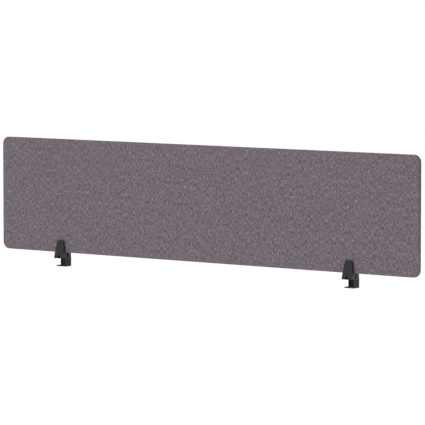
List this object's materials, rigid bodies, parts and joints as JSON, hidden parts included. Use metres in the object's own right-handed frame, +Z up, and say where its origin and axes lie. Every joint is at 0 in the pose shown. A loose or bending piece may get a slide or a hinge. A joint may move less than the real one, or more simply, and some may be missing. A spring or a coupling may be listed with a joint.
{
  "type": "desk privacy panel",
  "caption": "Long low fabric-covered desk screen with rounded corners, held on a desk's rear edge by screw clamps with tapered front cheeks.",
  "frame": {"origin": "on the desk top's rear upper edge, midway between the two clamps, at the panel's mid-plane", "axes": "+X along the panel, +Y away from the desk user, +Z up"},
  "size_m": [1.8, 0.0584, 0.4508],
  "materials": {
    "cover_fabric": "marled mauve-grey woven upholstery",
    "padding": "pale felted acoustic padding",
    "core_board": "bare fibreboard",
    "bracket_black": "charcoal powder coat on die-cast alloy",
    "housing_black": "fine-textured black moulding",
    "jaw_steel": "black powder-coated steel",
    "screw_steel": "black oxide",
    "nut_steel": "bright zinc plate",
    "pad_rubber": "matte black rubber"
  },
  "bodies": {
    "panel": {"core_board": "core_board", "front_padding": "padding", "rear_padding": "padding", "front_fabric": "cover_fabric", "rear_fabric": "cover_fabric"},
    "left_bracket": {"left_bracket_head": "bracket_black", "left_front_cheek_pad": "pad_rubber", "left_upper_jaw_pad": "pad_rubber", "left_clamp_housing": "housing_black", "left_housing_screws": "screw_steel", "left_end_cap": "jaw_steel", "left_end_cap_screws": "screw_steel"},
    "left_rear_cheek_slider": {"left_rear_cheek": "bracket_black", "left_rear_cheek_pad": "pad_rubber", "left_grip_nut": "screw_steel"},
    "left_grip_screw_set": {"left_grip_screw": "screw_steel", "left_grip_screw_clip": "screw_steel"},
    "left_clamp_screw_set": {"left_clamp_screw": "screw_steel"},
    "left_lower_jaw_slider": {"left_lower_jaw": "jaw_steel", "left_jaw_nut": "nut_steel", "left_lower_jaw_pad": "pad_rubber"},
    "right_bracket": {"right_bracket_head": "bracket_black", "right_front_cheek_pad": "pad_rubber", "right_upper_jaw_pad": "pad_rubber", "right_clamp_housing": "housing_black", "right_housing_screws": "screw_steel", "right_end_cap": "jaw_steel", "right_end_cap_screws": "screw_steel"},
    "right_rear_cheek_slider": {"right_rear_cheek": "bracket_black", "right_rear_cheek_pad": "pad_rubber", "right_grip_nut": "screw_steel"},
    "right_grip_screw_set": {"right_grip_screw": "screw_steel", "right_grip_screw_clip": "screw_steel"},
    "right_clamp_screw_set": {"right_clamp_screw": "screw_steel"},
    "right_lower_jaw_slider": {"right_lower_jaw": "jaw_steel", "right_jaw_nut": "nut_steel", "right_lower_jaw_pad": "pad_rubber"}
  },
  "joints": [
    {"name": "left_bracket_slide", "type": "slide", "parent": "panel", "child": "left_bracket", "axis": [1, 0, 0], "range_m": [-0.2, 0.2]},
    {"name": "left_grip_screw_turn", "type": "hinge", "parent": "left_bracket", "child": "left_grip_screw_set", "pos_m": [-0.625, 0, 0.006], "axis": [0, -1, 0], "range_deg": [0, 2475]},
    {"name": "left_rear_cheek_slide", "type": "slide", "parent": "left_bracket", "child": "left_rear_cheek_slider", "axis": [0, 1, 0], "range_m": [0, 0.0055]},
    {"name": "left_clamp_screw_turn", "type": "hinge", "parent": "left_bracket", "child": "left_clamp_screw_set", "pos_m": [-0.625, 0.016, 0], "axis": [0, 0, 1], "range_deg": [0, 3600]},
    {"name": "left_lower_jaw_slide", "type": "slide", "parent": "left_bracket", "child": "left_lower_jaw_slider", "axis": [0, 0, 1], "range_m": [0, 0.01]},
    {"name": "right_bracket_slide", "type": "slide", "parent": "panel", "child": "right_bracket", "axis": [1, 0, 0], "range_m": [-0.2, 0.2]},
    {"name": "right_grip_screw_turn", "type": "hinge", "parent": "right_bracket", "child": "right_grip_screw_set", "pos_m": [0.625, 0, 0.006], "axis": [0, -1, 0], "range_deg": [0, 2475]},
    {"name": "right_rear_cheek_slide", "type": "slide", "parent": "right_bracket", "child": "right_rear_cheek_slider", "axis": [0, 1, 0], "range_m": [0, 0.0055]},
    {"name": "right_clamp_screw_turn", "type": "hinge", "parent": "right_bracket", "child": "right_clamp_screw_set", "pos_m": [0.625, 0.016, 0], "axis": [0, 0, 1], "range_deg": [0, 3600]},
    {"name": "right_lower_jaw_slide", "type": "slide", "parent": "right_bracket", "child": "right_lower_jaw_slider", "axis": [0, 0, 1], "range_m": [0, 0.01]}
  ],
  "couplings": [
    {"joint": "left_grip_screw_turn", "follows": "left_rear_cheek_slide", "rad_per_m": 7854},
    {"joint": "left_clamp_screw_turn", "follows": "left_lower_jaw_slide", "rad_per_m": 6283.2},
    {"joint": "right_grip_screw_turn", "follows": "right_rear_cheek_slide", "rad_per_m": 7854},
    {"joint": "right_clamp_screw_turn", "follows": "right_lower_jaw_slide", "rad_per_m": 6283.2}
  ]
}
